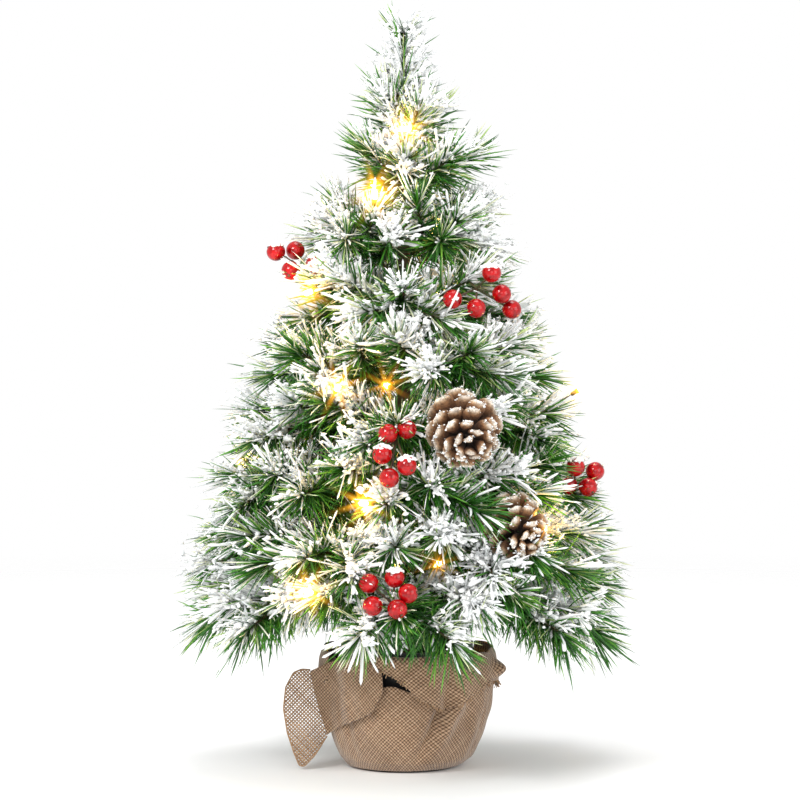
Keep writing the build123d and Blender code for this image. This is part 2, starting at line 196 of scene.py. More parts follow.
def scale_material():
    """A pine cone's scales: near black at the root, painted shade for the gaps, then brown, then a pale, dusted edge.
    """
    material = strip_material(
        "cone_scales",
        [(0.0, (0.50, 0.46, 0.43)), (0.5, (0.78, 0.74, 0.70)), (1.0, (1.0, 1.0, 1.0))],
        [(0.0, (0.008, 0.004, 0.002)), (0.40, (0.034, 0.014, 0.005)), (0.66, (0.130, 0.054, 0.020)),
         (0.82, (0.250, 0.120, 0.050)), (0.90, (0.42, 0.29, 0.18)), (0.97, (0.86, 0.80, 0.72))], Roughness=0.8)
    tree = material.node_tree
    shader = tree.nodes["Principled BSDF"]
    fibre = noise_at(tree, object_place(tree), Scale=420.0, Detail=5.0, Roughness=0.7)
    grain = ramp(tree, fibre, [(0.36, (0.45, 0.42, 0.40)), (0.52, (1.0, 1.0, 1.0)), (0.64, (1.35, 1.3, 1.25)),
                               (0.74, (2.4, 2.4, 2.4))])
    plain_colour = shader.inputs["Base Color"].links[0].from_socket
    feed(tree, shader, Base_Color=multiply(tree, plain_colour, grain), Normal=bump(tree, fibre, 0.7, 0.0008))
    return material


def berry_material():
    """A smooth red skin under a thin lacquer."""
    material, tree, shader = new_material("berry_skin")
    cloud = noise_at(tree, object_place(tree), Scale=220.0, Detail=3.0)
    reds = [(0.30, (0.18, 0.001, 0.002)), (0.55, (0.42, 0.002, 0.004)), (0.8, (0.56, 0.006, 0.006))]
    feed(tree, shader, Base_Color=ramp(tree, cloud, reds), Roughness=0.14, Specular_IOR_Level=0.20,
         Coat_Weight=0.45, Coat_Roughness=0.04, Normal=bump(tree, cloud, 0.06, 0.0005))
    return material


def bulb_material():
    """A lit rice lamp: amber near its holder and white-hot at its tip."""
    material, tree, shader = new_material("lamp_bulb")
    _, u, _ = uv_parts(tree)
    glow = ramp(tree, u, [(0.0, (1.0, 0.50, 0.08)), (0.4, (1.0, 0.66, 0.18)), (1.0, (1.0, 0.78, 0.34))])
    feed(tree, shader, Base_Color=(1.0, 0.85, 0.5, 1), Emission_Color=glow, Emission_Strength=BULB_BRIGHTNESS,
         Roughness=0.15)
    return material


def cell_material():
    """A cell's jacket: a dark band and a copper band, by the place along it."""
    material, tree, shader = new_material("cell_jacket")
    spot = object_place(tree)
    split = add(tree, "ShaderNodeSeparateXYZ", Vector=spot)
    band = calc(tree, "MULTIPLY_ADD", split.outputs["X"], 16.0, 0.5)
    stops = [(0.30, (0.02, 0.02, 0.022)), (0.34, (0.45, 0.22, 0.09)), (0.95, (0.50, 0.26, 0.11)),
             (1.0, (0.6, 0.6, 0.6))]
    feed(tree, shader, Base_Color=ramp(tree, band, stops), Roughness=0.3, Metallic=0.7,
         Normal=bump(tree, noise_at(tree, spot, Scale=400.0), 0.05, 0.0002))
    return material


def weave_material():
    """Burlap: a plain weave of rough jute yarns, from the UV in metres of cloth."""
    material, tree, shader = new_material("burlap_weave")
    uv, u, v = uv_parts(tree)
    count = partial(calc, tree)
    wobble = noise_at(tree, uv, Scale=45.0, Detail=2.0)
    shift = count("MULTIPLY", count("SUBTRACT", wobble, 0.5), 1.2)
    ways = [count("ADD", count("DIVIDE", part, YARN_PITCH), shift) for part in (u, v)]
    heights = []
    for across_way, along_way, turn in ((ways[0], ways[1], 0.0), (ways[1], ways[0], 1.0)):
        round_top = count("ABSOLUTE", count("SINE", count("MULTIPLY", across_way, math.pi)))
        row = count("ADD", count("FLOOR", across_way), turn)
        wave = count("SINE", count("MULTIPLY", count("ADD", along_way, row), math.pi))
        lift = count("MULTIPLY_ADD", wave, 0.34, 0.66)
        pick = add(tree, "ShaderNodeTexWhiteNoise", noise_dimensions="1D", W=count("ADD", row, 137.5 * turn))
        uneven = count("MULTIPLY_ADD", pick.outputs["Value"], 0.22, 0.84)
        heights.append(count("MULTIPLY", count("MULTIPLY", count("POWER", round_top, 0.6), lift), uneven))
    height = count("MAXIMUM", *heights)
    # The colour follows the yarns' height, dark where it is low: painted shade on the yarns' flanks, where they dip
    # under each other, and in the gaps between them.
    cloth = ramp(tree, height, [(0.28, (0.034, 0.015, 0.007)), (0.48, (0.140, 0.074, 0.037)),
                                (0.72, (0.385, 0.245, 0.148)), (0.98, (0.570, 0.410, 0.280))])
    slub = ramp(tree, noise_at(tree, uv, Scale=900.0, Detail=4.0, Roughness=0.7),
                [(0.30, (0.70, 0.68, 0.65)), (0.55, (1.0, 1.0, 1.0)), (0.8, (1.18, 1.15, 1.10))])
    tone = ramp(tree, noise_at(tree, uv, Scale=26.0, Detail=3.0),
                [(0.35, (0.86, 0.84, 0.82)), (0.65, (1.06, 1.05, 1.04))])
    feed(tree, shader, Base_Color=multiply(tree, multiply(tree, cloth, slub), tone), Roughness=0.9,
         Sheen_Weight=0.3, Normal=bump(tree, height, 0.9, 0.0005))
    return material


def floor_material():
    """Pale, and fading away to nothing past the tree, so that the floor has no far edge."""
    material, tree, shader = new_material("stage_white")
    far = add(tree, "ShaderNodeVectorMath", operation="LENGTH", Vector=object_place(tree)).outputs["Value"]
    fade = ramp(tree, calc(tree, "DIVIDE", far, STAGE_REACH), [(0.22, (1, 1, 1)), (0.50, (0, 0, 0))])
    feed(tree, shader, Base_Color=(0.93, 0.93, 0.93, 1), Roughness=0.9, Alpha=fade)
    return material


# ---------------- mesh helpers
def unit(vectors):
    return vectors / norm(vectors, axis=-1, keepdims=True)


def across(directions, rng):
    """Random unit vectors square to the given ones."""
    loose = rng.normal(size=directions.shape)
    return unit(np.cross(directions, loose))


def square_to(axis):
    """Two unit vectors square to one axis and to each other."""
    side = unit(np.cross(axis, UP + 0.37 * axis[[1, 2, 0]] + np.array([0.11, 0.05, 0.0])))
    return side, np.cross(axis, side)


def new_object(name, data):
    made = bpy.data.objects.new(name, data)
    bpy.context.scene.collection.objects.link(made)
    return made


def mesh_piece(name, points, faces, uv, material):
    """A smooth object of faces that all have the same number of corners; uv has one pair for each point."""
    mesh = bpy.data.meshes.new(name)
    corners = faces.shape[1]
    mesh.vertices.add(len(points))
    mesh.vertices.foreach_set("co", points.astype(np.float32).ravel())
    mesh.loops.add(faces.size)
    mesh.loops.foreach_set("vertex_index", faces.astype(np.int32).ravel())
    mesh.polygons.add(len(faces))
    mesh.polygons.foreach_set("loop_start", np.arange(0, faces.size, corners, dtype=np.int32))
    mesh.polygons.foreach_set("use_smooth", np.ones(len(faces), dtype=bool))
    mesh.update(calc_edges=True)
    if uv is not None:
        layer = mesh.uv_layers.new(name=BAKE_UV)
        layer.data.foreach_set("uv", uv[faces.ravel()].astype(np.float32).ravel())
    mesh.materials.append(material)
    return new_object(name, mesh)


def tube_faces(rings, corners, pointed=False):
    """The triangles of one closed tube of rings, which ends in a point where asked."""
    faces = []
    for ring in range(rings - 1):
        for corner in range(corners):
            a = ring * corners + corner
            b = ring * corners + (corner + 1) % corners
            faces += [(a, b, b + corners), (a, b + corners, a + corners)]
    last = (rings - 1) * corners
    faces += [(0, c + 1, c) for c in range(1, corners - 1)]
    if pointed:
        faces += [(last + c, last + (c + 1) % corners, rings * corners) for c in range(corners)]
    else:
        faces += [(last, last + c, last + c + 1) for c in range(1, corners - 1)]
    return np.array(faces)


def corner_angles(corners):
    return 2 * np.pi * np.arange(corners) / corners


def stacked(*values):
    """Arrays stacked as the coordinates of points, repeated where one lacks a row or a column."""
    return np.stack(np.broadcast_arrays(*values), -1)


def bell(values, width):
    return np.exp(-((values / width) ** 2))


def as_shape(points, faces, uv):
    return points.reshape(-1, 3), faces, uv.reshape(-1, 2)


def repeated(faces, count, size):
    """The faces of count copies of a shape of that many points."""
    return (faces[None] + (np.arange(count) * size)[:, None, None]).reshape(-1, faces.shape[1])


def spikes(starts, directions, sides, bends, lengths, rings, sections, rows):
    """Closed pointed strips, as points, triangles and uv.

    rings is a list of (share of the length, scale). sections gives each strip's corners round its line, as
    (strip, corner, 2) offsets along its side and along direction x side."""
    count, corners = sections.shape[:2]
    lifts = np.cross(directions, sides)
    points = []
    uv = []
    for share, scale in rings:
        line = starts + directions * (lengths * share)[:, None] + bends * share**2
        scale = np.asarray(scale)[..., None, None] if np.ndim(scale) else scale
        offsets = sections * scale
        points.append(line[:, None] + offsets[..., :1] * sides[:, None] + offsets[..., 1:] * lifts[:, None])
        uv.append(stacked(np.full((count, corners), 0.02 + 0.96 * share), rows[:, None]))
    tip = starts + directions * lengths[:, None] + bends
    points = np.concatenate(points + [tip[:, None]], axis=1)
    uv = np.concatenate(uv + [stacked(np.full((count, 1), 0.98), rows[:, None])], axis=1)
    faces = repeated(tube_faces(len(rings), corners, pointed=True), count, points.shape[1])
    return as_shape(points, faces, uv)


def join_arrays(parts):
    """Joins (points, faces, uv) sets into one."""
    points, faces, uv, base = [], [], [], 0
    for p, f, u in parts:
        points.append(p)
        faces.append(f + base)
        uv.append(u)
        base += len(p)
    return np.concatenate(points), np.concatenate(faces), np.concatenate(uv)


def ball(levels):
    """The points and triangles of a unit icosphere."""
    work = bmesh.new()
    bmesh.ops.create_icosphere(work, subdivisions=levels, radius=1)
    work.verts.ensure_lookup_table()
    points = np.array([v.co[:] for v in work.verts])
    faces = np.array([[v.index for v in f.verts] for f in work.faces])
    work.free()
    return points, faces


def swept(line, side, lift, radii, u, v):
    """A closed tube round a line of points, with a radius for each of its rings and corners."""
    corners = radii.shape[1]
    turn = corner_angles(corners)
    ring = line[:, None] + (radii * np.cos(turn))[..., None] * side + (radii * np.sin(turn))[..., None] * lift
    return as_shape(ring, tube_faces(len(line), corners), stacked(u[:, None], np.full((1, corners), v)))


def lathe(start, axis, profile, corners=20, row=0.5):
    """A round shape about an axis from start, of (radius, distance) points."""
    radii, places = np.array(profile).T
    radii = np.repeat(radii[:, None], corners, 1)
    return swept(start + axis * places[:, None], *square_to(axis), radii, np.linspace(0.03, 0.97, len(radii)), row)


def twisted(start, end, radius, lay=0.009):
    """A wire of two strands twisted together, one turn in each lay."""
    ring_pitch = 0.0018
    corners = 6
    axis = end - start
    length = norm(axis)
    axis = axis / length
    side, lift = square_to(axis)
    rings = max(int(length / ring_pitch), 3)
    turn = corner_angles(corners)
    share = np.linspace(0, 1, rings)
    twist = share * length / lay * 2 * np.pi
    lobes = radius * (0.72 + 0.28 * np.cos(2 * (turn[None] - twist[:, None])))
    lobes[-1] *= 0.4
    return swept(start + axis * (share * length)[:, None], side, lift, lobes, 0.05 + 0.9 * share,
                 0.5 + 0.45 * np.cos(turn))


# ---------------- reading the frame
def islands(node):
    """The points of each separate solid in a CAD node."""
    mesh = frame["nodes"][node].data
    places = np.empty(len(mesh.vertices) * 3)
    mesh.vertices.foreach_get("co", places)
    keys, same = np.unique(np.round(places.reshape(-1, 3), 6), axis=0, return_inverse=True)
    edges = np.empty(len(mesh.edges) * 2, dtype=np.int32)
    mesh.edges.foreach_get("vertices", edges)
    edges = same.ravel()[edges.reshape(-1, 2)]
    label = np.arange(len(keys))
    while True:
        low = np.minimum(label[edges[:, 0]], label[edges[:, 1]])
        before = label.copy()
        np.minimum.at(label, edges[:, 0], low)
        np.minimum.at(label, edges[:, 1], low)
        label = label[label]
        if (label == before).all():
            break
    return [keys[label == value] for value in np.unique(label)]


def by_line(points, axis):
    """How far points lie along a line through the origin, and how far from it."""
    along = points @ axis
    return along, norm(points - np.outer(along, axis), axis=1)


def middle_of(points):
    return (points.min(axis=0) + points.max(axis=0)) / 2


def rods(node):
    """The solids in a node, each by its longest line: (end nearer the trunk, other end, radius)."""
    found = []
    for points in islands(node):
        middle = points.mean(axis=0)
        _, _, turns = np.linalg.svd(points - middle, full_matrices=False)
        along, radial = by_line(points - middle, turns[0])
        ends = [middle + turns[0] * along.min(), middle + turns[0] * along.max()]
        ends.sort(key=lambda end: math.hypot(end[0], end[1]) + 0.001 * end[2])
        found.append((ends[0], ends[1], radial.max()))
    return found


def wires_of(node):
    """A branch's wires, the arm first: (start, end). The knuckle and the tufts' cores are left out."""
    thin = [rod for rod in rods(node) if rod[2] < THICKEST_WIRE and norm(rod[1] - rod[0]) > SHORTEST_WIRE]
    thin.sort(key=lambda rod: -round(rod[2], 5))
    return [(start, end) for start, end, _ in thin]


def nodes_called(start):
    return sorted(node for node in frame["nodes"] if node.startswith(start))


def place(piece, node):
    """The piece moves with the node's body."""
    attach(piece, BODY_OF[node])


def stand_for(node, *kinds):
    """A node's pieces, of (start of the name, slot, material, parts), less those with no parts. The node's own
    solids are hidden."""
    pieces = [(mesh_piece(f"{kind}_{node}", *join_arrays(parts), material), slot)
              for kind, slot, material, parts in kinds if parts]
    for piece, slot in pieces:
        place(piece, node)
    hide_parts(node)


# ---------------- foliage
def brush(rng, start, end, is_arm, upright):
    """The needles wound into one wire: roots, directions, lengths and bends."""
    axis = end - start
    length = norm(axis)
    axis = axis / length
    skip = BARE_ARM if is_arm else BARE_SPRIG
    count = int((length - skip) * NEEDLES_PER_METRE)
    places = skip + (length - skip) * (np.arange(count) + rng.uniform(0, 1, count)) / count
    places = np.concatenate([places, length - rng.uniform(0, BURST_REACH, TIP_BURST)])
    count = len(places)
    to_tip = length - places
    lean = np.where(to_tip < CLOSING_REACH, TIP_LEAN + LEAN_GAIN * to_tip, NEEDLE_LEAN)
    spread = np.radians(lean + rng.normal(0, 15, count))
    spread[-TIP_BURST:] = np.radians(rng.uniform(2, 55, TIP_BURST))
    if upright and is_arm:
        spread = np.radians(rng.normal(52, 9, count))
    sideways = across(np.repeat(axis[None], count, 0), rng)
    directions = axis * np.cos(spread)[:, None] + sideways * np.sin(spread)[:, None]
    lengths = NEEDLE_LENGTH * rng.uniform(0.70, 1.06, count)
    if start[2] < LOW_WIRES:
        lengths *= np.where(directions[:, 2] < 0, 1.06, 1.0)
    if not upright:
        lengths *= np.clip(np.hypot(start[0] + axis[0] * places, start[1] + axis[1] * places) / 0.05, 0.6, 1)
    bends = axis * (lengths * rng.uniform(-0.04, 0.20, count))[:, None]
    bends += rng.normal(0, 0.115, (count, 3)) * lengths[:, None]
    bends[:, 2] -= (0.16 if start[2] < LOW_WIRES else 0.05) * lengths
    starts = start + axis * places[:, None]
    directions = unit(directions)
    tips = starts + directions * lengths[:, None] + bends
    beyond = np.clip(np.abs(tips) - FARTHEST, 0, None) / np.clip(np.abs(directions), 0.35, 1)
    lengths = np.clip(lengths - beyond.max(axis=1), 0.006, None)
    return starts, directions, lengths, bends


def hides_lamp(starts, tips):
    """Which needles cross the space that is kept open in front of a lamp."""
    found = np.zeros(len(starts), dtype=bool)
    for centre, away in LAMP_SPOTS:
        for share in (0.15, 0.35, 0.55, 0.75, 0.95):
            along, beside = by_line(starts + (tips - starts) * share - centre, away)
            found |= (along > -0.002) & (along < CLEAR_AHEAD) & (beside < LAMP_CLEARANCE)
    return found


def green_needles(rng, starts, directions, lengths, bends, rows):
    sides = across(directions, rng)
    half = NEEDLE_WIDTH / 2 * rng.uniform(0.75, 1.15, len(starts))
    sections = np.zeros((len(starts), 3, 2))
    sections[:, 0, 0] = -half
    sections[:, 1, 0] = half
    sections[:, 2, 1] = NEEDLE_THICKNESS
    rings = [(0.0, 0.7), (0.35, 1.0), (0.8, 0.8)]
    return spikes(starts, directions, sides, bends, lengths, rings, sections, rows)


def coated_needles(rng, starts, directions, lengths, bends, rows):
    """Needles thick with flock: lumpy, blunt and a little longer than the green ones."""
    sides = across(directions, rng)
    corners = 4
    turn = corner_angles(corners)
    width = COAT_RADIUS * rng.uniform(0.55, 1.35, len(starts))
    sections = np.stack([np.cos(turn), np.sin(turn)], -1)[None] * width[:, None, None]
    sections = sections * rng.uniform(0.7, 1.3, (len(starts), corners, 1))
    rings = [(share, rng.uniform(low, high, len(starts))) for share, low, high in
             [(0.12, 0.4, 1.0), (0.42, 0.4, 1.7), (0.70, 0.4, 2.0), (0.93, 0.5, 1.9)]]
    return spikes(starts, directions, sides, bends, lengths * 1.02, rings, sections, rows)


def lumps(rng, centres, sizes, rows):
    """Crumbs of flock: squashed, knobbly balls."""
    points, faces = CRUMB
    count = len(centres)
    knobs = np.clip(1 + rng.normal(0, 0.34, (count, len(points), 1)), 0.35, 1.9)
    stretch = rng.uniform(0.65, 1.35, (count, 1, 3)) * np.array([1.1, 1.1, 0.8])
    shaped = points[None] * knobs * stretch * sizes[:, None, None] + centres[:, None]
    # u follows each crumb's height, so that the flock colour greys its underside: painted shade.
    uv = stacked(0.5 + 0.4 * points[None, :, 2], rows[:, None])
    return as_shape(shaped, repeated(faces, count, len(points)), uv)


def dress_branch(node, seed):
    """Needles, twisted stems and flocking for one branch, which stand for its CAD solids."""
    rng = np.random.default_rng(seed)
    upright = node == "leader"
    wires = wires_of(node)
    stems = [twisted(start, end, STEM_RADIUS * (0.8 if i else 1)) for i, (start, end) in enumerate(wires)]
    sets = [brush(rng, start, end, i == 0, upright) for i, (start, end) in enumerate(wires)]
    snowy = np.concatenate([np.full(len(s[0]), rng.uniform(-0.28, 0.40)) for s in sets])
    starts, directions, lengths, bends = [np.concatenate(column) for column in zip(*sets)]
    open_ones = ~hides_lamp(starts, starts + directions * lengths[:, None] + bends)
    snowy, starts, directions, lengths, bends = [a[open_ones] for a in (snowy, starts, directions, lengths, bends)]
    snowy += np.where(starts[:, 2] < LOW_WIRES, 0.05, 0.0)
    tips = starts + directions * lengths[:, None]
    reach = np.hypot(tips[:, 0], tips[:, 1])
    outward = np.full(len(reach), 0.8) if upright else reach / reach.max()
    patch = np.sin(tips @ np.array([61.0, 47.0, 53.0]) + 1.7) * np.sin(tips @ np.array([-37.0, 71.0, 29.0]) + 0.4)
    if upright:
        snowy += np.where(tips[:, 0] > 0, 0.05, -0.28)
    upward = directions[:, 2]
    chance = -0.01 + 0.50 * upward + 0.95 * (outward - 0.67) + 0.42 * patch + snowy
    coated = rng.uniform(0, 1, len(starts)) < np.clip(chance, 0.02, 0.92)
    green = ~coated
    frosting = np.clip(-0.04 + 0.3 * outward + 0.25 * upward + 0.5 * snowy, 0.03, 0.6)
    frosted = rng.uniform(0, 1, len(starts)) < frosting
    rows = np.where(frosted, rng.uniform(0.74, 0.97, len(starts)), rng.beta(2, 2, len(starts)) * 0.74)
    # Needles on the inner half of a branch take the darker rows: painted shade inside the tree.
    rows = np.where(outward < 0.5, rows * 0.45, rows)
    needles = green_needles(rng, *[a[green] for a in (starts, directions, lengths, bends, rows)])
    flock = coated_needles(rng, *[a[coated] for a in (starts, directions, lengths, bends)],
                           rng.uniform(0.1, 0.95, coated.sum()))
    settled = np.flatnonzero(coated & (upward > -0.15))
    weights = np.clip(0.15 + upward[settled] + 1.2 * snowy[settled] + 0.6 * patch[settled], 0.05, None) ** 1.5
    chosen = rng.choice(settled, int(len(settled) * CRUMBS_PER_NEEDLE), p=weights / weights.sum())
    along = 0.12 + 0.86 * rng.uniform(0, 1, len(chosen)) ** 0.8
    centres = starts[chosen] + directions[chosen] * (lengths[chosen] * along)[:, None]
    centres += bends[chosen] * (along**2)[:, None] + rng.normal(0, 0.0017, (len(chosen), 3))
    heaped = 0.85 + 0.9 * np.clip(snowy[chosen] + 0.3 * patch[chosen], 0, 0.5)
    sizes = CRUMB_RADIUS * rng.uniform(0.34, 1.0, len(chosen)) ** 1.45 * (1.15 - 0.45 * along) * heaped
    crumbs = lumps(rng, centres, sizes, rng.uniform(0.2, 0.98, len(chosen)))
    stand_for(node, ("needles", "needles", NEEDLES, [needles]), ("flocking", "snow", SNOW, [flock, crumbs]),
              ("stems", "needles", STEMS, stems))


# ---------------- lamps
def new_light(name, kind, spot, power):
    data = bpy.data.lights.new(name, kind)
    data.energy = power
    light = new_object(name, data)
    light.location = spot
    return light


def lamp_light(name, spot, power):
    """The light that a lamp throws on what is round it."""
    light = new_light(name, "POINT", spot, power)
    light.data.color = LAMP_LIGHT
    light.data.shadow_soft_size = 0.004
    return light


def parts_of_lamps(node):
    """A node's leads, bulbs and holders, each by its longest line."""
    found = rods(node)
    leads = [rod for rod in found if rod[2] < THICKEST_LEAD]
    bulbs = [rod for rod in found if THICKEST_LEAD <= rod[2] < THICKEST_BULB]
    holders = [rod for rod in found if rod[2] >= THICKEST_BULB]
    return leads, bulbs, holders


def lamp_spots():
    """Each bulb's middle with a direction to keep open: away from the trunk, and to the front in the front half."""
    front = np.array([0.0, -1.0, 0.0])
    spots = []
    for node in nodes_called("lamp_"):
        for start, end, _ in parts_of_lamps(node)[1]:
            middle = (start + end) / 2
            spots.append((middle, unit(middle * np.array([1, 1, 0]) + np.array([0, -1e-4, 0]))))
            if middle[1] < 0:
                spots.append((middle, front))
    return spots


def dress_lamps(node):
    """A lit bulb, a ribbed holder and a twisted lead for each lamp in a node."""
    leads, bulbs, holders = parts_of_lamps(node)
    glass, caps = [], []
    for start, end, radius in holders:
        nearest = min(bulbs, key=lambda bulb: min(norm(b - h) for b in bulb[:2] for h in (start, end)))
        middle = (nearest[0] + nearest[1]) / 2
        if norm(start - middle) < norm(end - middle):
            start, end = end, start
        axis = unit(end - start)
        length = norm(end - start)
        ribs = [(radius * (0.80 + 0.10 * (step % 2)), length * (0.25 + 0.08 * step)) for step in range(6)]
        back = [(0.0003, 0), (radius * 0.6, 0.0002), (radius * 0.85, 0.0012)]
        rim = [(radius, length * 0.75), (radius, length * 0.96), (radius * 0.8, length), (0.0002, length)]
        caps.append(lathe(start, axis, back + ribs + rim))
        far = max(norm(end - b) for b in nearest[:2])
        bulb = nearest[2] * 1.25
        dome = [(bulb * math.cos(t), far - bulb + bulb * math.sin(t)) for t in np.linspace(0, 1.45, 7)]
        glass.append(lathe(end, axis, [(0.0002, 0.0001), (bulb * 0.9, 0.0002), (bulb, 0.001)] + dome))
        spot = end + axis * (far + 0.003)
        power = TRUNK_LAMP_POWER if node == "trunk_lamps" else LAMP_POWER
        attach(lamp_light(f"light_{node}_{len(glass)}", spot, power), BODY_OF[node])
    wires = [twisted(start, end, radius * 1.15, lay=0.005) for start, end, radius in leads]
    stand_for(node, ("bulbs", "lamp", BULB, glass), ("holders", "wire", HOLDER, caps), ("leads", "wire", LEAD, wires))


# ---------------- berries
def dress_berries(node, seed):
    """Glossy berries on brown wire stems, some of them capped with flock."""
    thickest_stem, smallest_berry = 0.002, 0.0135
    crumb_count = 70
    rng = np.random.default_rng(seed)
    stems = [twisted(start, end, size * 1.5, lay=0.006) for start, end, size in rods(node) if size < thickest_stem]
    skins, eyes, crumbs = [], [], []
    solids = [points for points in islands(node) if np.ptp(points, axis=0).min() > smallest_berry]
    centres = [middle_of(points) for points in solids]
    heart = np.mean(centres, axis=0)
    for number, centre in enumerate(centres):
        radius = np.ptp(solids[number][:, 2]) / 2
        away = unit(centre - heart + np.array([0.0, -0.004, 0.002]))
        turn = np.linspace(0.02, math.pi - 0.1, 20)
        dent = 1 - 0.10 * bell(math.pi - turn, 0.25)
        profile = [(radius * math.sin(t) * d, -radius * math.cos(t) * d) for t, d in zip(turn, dent)]
        skins.append(lathe(centre, away, profile, corners=28))
        tip = centre + away * radius * 0.90
        eyes.append(lathe(tip, away, [(0.0002, 0), (0.0012, 0.0001), (0.0009, 0.0007), (0.0004, 0.0009)], corners=7))
        if (number + seed) % 3 == 0:
            lean = np.arccos(1 - 0.42 * rng.uniform(0, 1, crumb_count))
            spin = rng.uniform(0, 2 * np.pi, crumb_count)
            out = stacked(np.sin(lean) * np.cos(spin), np.sin(lean) * np.sin(spin), np.cos(lean))
            sizes = rng.uniform(0.0006, 0.0016, crumb_count)
            crumbs.append(lumps(rng, centre + out * radius, sizes, rng.uniform(0.3, 1, crumb_count)))
    stand_for(node, ("skins", "berries", BERRY, skins), ("stalks", "berries", STEMS, stems + eyes),
              ("caps", "snow", SNOW, crumbs))


# ---------------- pine cones
def cone_axis(points):
    """The axis of a round solid, away from the trunk: the one of its three own directions that differs."""
    middle = middle_of(points)
    _, sizes, turns = np.linalg.svd(points - middle, full_matrices=False)
    gaps = [abs(sizes[1] - sizes[2]), abs(sizes[0] - sizes[2]), abs(sizes[0] - sizes[1])]
    axis = turns[int(np.argmin(gaps))]
    return middle, axis if axis[:2] @ middle[:2] > 0 else -axis


def dress_cone(node, seed):
    """Open woody scales in a spiral, from a reflexed base to a closed tip, dusted with flock."""
    rng = np.random.default_rng(seed)
    solids = sorted(islands(node), key=lambda points: -np.ptp(points, axis=0).max() * np.ptp(points, axis=0).min())
    middle, axis = cone_axis(solids[0])
    along, beside = by_line(solids[0] - middle, axis)
    length, radius = np.ptp(along), beside.max()
    side, lift = square_to(axis)
    back = middle - axis * length / 2
    count, rings, corners = CONE_SCALES, 11, 14
    order = (np.arange(count) + 0.5) / count
    spin = np.arange(count) * math.pi * (3 - math.sqrt(5)) + rng.normal(0, 0.07, count)
    opening = np.radians(104 - 34 * order - 52 * order**3 + rng.normal(0, 5, count))
    reach = radius * np.clip(0.84 + 0.62 * order - 1.08 * order**2, 0.34, 1) * rng.uniform(0.92, 1.04, count)
    half = radius * (0.31 - 0.15 * order**1.5) * rng.uniform(0.88, 1.12, count)
    outward = np.cos(spin)[:, None] * side + np.sin(spin)[:, None] * lift
    roots = back + axis * (length * (0.10 + 0.72 * order))[:, None] + outward * (radius * 0.08)
    along = outward * np.sin(opening)[:, None] + axis * np.cos(opening)[:, None]
    sideways = unit(np.cross(axis, outward) + along * rng.normal(0, 0.08, (count, 1)))
    face = np.cross(along, sideways)
    share = np.linspace(0, 1, rings)
    turn = corner_angles(corners)
    width = (0.26 + 0.74 * np.sin(1.80 * share**1.1)) * np.sqrt(1 - 0.80 * np.clip((share - 0.74) / 0.26, 0, 1) ** 2.2)
    thick = 0.0005 + 0.0024 * share**2.2
    thick[-1] *= 0.5
    curl = 0.10 * share**2 - 0.45 * np.clip(share - 0.70, 0, 1) ** 1.6
    halves = (half[:, None] * width)[..., None]
    points = roots[:, None, None] + along[:, None, None] * (reach[:, None] * share)[..., None, None]
    points = points + sideways[:, None, None] * halves[..., None] * np.cos(turn)[None, None, :, None]
    spoon = 0.26 * halves * np.cos(turn) ** 2 - curl[None, :, None] * reach[:, None, None]
    knobbly = 1 + 0.25 * np.sin(turn[None] * 3 + 9 * share[:, None])
    points = points - face[:, None, None] * (spoon + (thick[:, None] * knobbly * np.sin(turn))[None])[..., None]
    points = points + rng.normal(0, 0.00012, points.shape) * share[None, :, None, None]
    uv = stacked(0.02 + 0.96 * share[None, :, None], rng.uniform(0.1, 0.9, (count, 1, 1)),
                 np.zeros((1, 1, corners)))[..., :2]
    faces = repeated(tube_faces(rings, corners), count, rings * corners)
    scales = as_shape(points, faces, uv)
    core = lathe(back, axis, [(0.001, 0.0), (radius * 0.20, length * 0.08), (radius * 0.22, length * 0.4),
                              (radius * 0.14, length * 0.72), (0.0005, length * 0.88)], row=0.1)
    # The core takes the scales' darkest root colours, near black: painted shade deep between the scales.
    core[2][:, 0] *= 0.3
    stalk = [twisted(start, end, size, lay=0.008) for start, end, size in rods(node) if size < THICKEST_WIRE]
    ends = roots + along * reach[:, None] + face * (DUST_LIFT * reach)[:, None]
    dusted = np.repeat(np.flatnonzero(order < 0.97), 34)
    spots = ends[dusted] - along[dusted] * (reach[dusted] * rng.uniform(-0.01, 0.14, len(dusted)))[:, None]
    spots += sideways[dusted] * (half[dusted] * rng.uniform(-0.75, 0.75, len(dusted)))[:, None]
    spots += rng.normal(0, 0.0007, spots.shape)
    sizes = 0.00025 + 0.0008 * rng.uniform(0, 1, len(spots)) ** 2.5
    dust = lumps(rng, spots, sizes, rng.uniform(0.1, 0.8, len(spots)))
    stand_for(node, ("scales", "pine_cone", SCALES, [scales, core]), ("stalk", "pine_cone", STEMS, stalk),
              ("dust", "snow", SNOW, [dust]))


# ---------------- burlap
def eased(values, knots, heights, width=0.06):
    """A line through (knot, height) pairs with its corners rounded off."""
    low, high = knots[0], knots[-1]
    dense = np.linspace(low, high, 401)
    straight = np.interp(dense, knots, heights)
    reach = int(401 * width)
    window = np.ones(2 * reach + 1) / (2 * reach + 1)
    smooth = np.convolve(np.pad(straight, reach, mode="edge"), window, mode="valid")
    return np.interp(values, dense, smooth)


def wrapped(angle):
    return (angle + 180) % 360 - 180


# Folds of the bag: azimuth at the middle height, lean in degrees for 10 mm of height, depth, width in degrees.
FOLDS = [(-68, 4.2, -0.0078, 4.2), (-57, 3.6, 0.0052, 5.5), (-112, -2.0, 0.0016, 12.0), (-30, 1.0, 0.0030, 8.0),
         (-20, 2.5, -0.0024, 4.5), (8, -1.5, 0.0036, 9.0), (31, 2.0, -0.0034, 5.0), (52, 0.0, 0.0040, 9.0),
         (78, -2.5, -0.0030, 5.0), (101, 1.5, 0.0038, 10.0), (126, 2.0, -0.0036, 5.5), (150, -1.0, 0.0034, 9.0),
         (172, 1.5, -0.0026, 5.0), (-152, 2.0, 0.0028, 8.0), (-138, -2.0, -0.0020, 5.0)]


